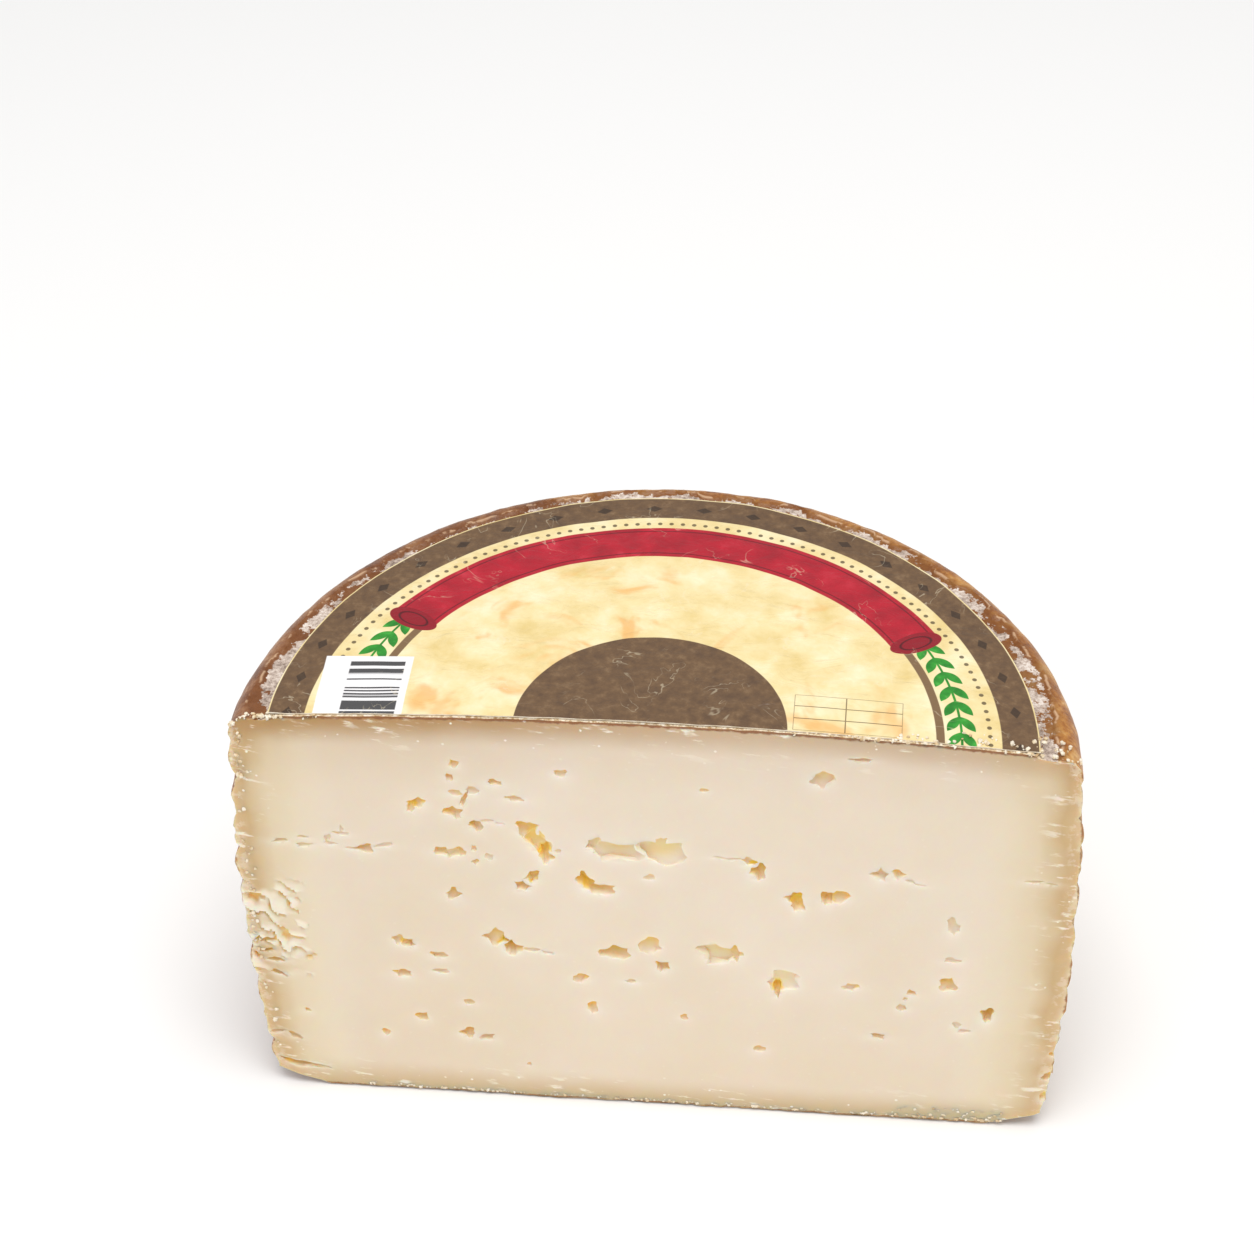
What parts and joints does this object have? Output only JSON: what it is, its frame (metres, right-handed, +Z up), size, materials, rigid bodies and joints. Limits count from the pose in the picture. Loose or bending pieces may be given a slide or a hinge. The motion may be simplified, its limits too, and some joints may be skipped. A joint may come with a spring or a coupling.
{
  "type": "cheese wheel half",
  "caption": "Half of a small pressed cheese wheel with a plaited rind, an open cut face and half of its round paper label.",
  "frame": {"origin": "middle of the half's outer box, on the surface that it stands on", "axes": "+Z up along the wheel's axis; the cut face looks along -Y; +X runs along the cut face"},
  "size_m": [0.188, 0.094, 0.1207],
  "materials": {
    "cheese": "matt",
    "label_paper": "satin"
  },
  "bodies": {
    "root": {"cheese_half": "cheese", "paper_label": "label_paper"}
  },
  "joints": []
}
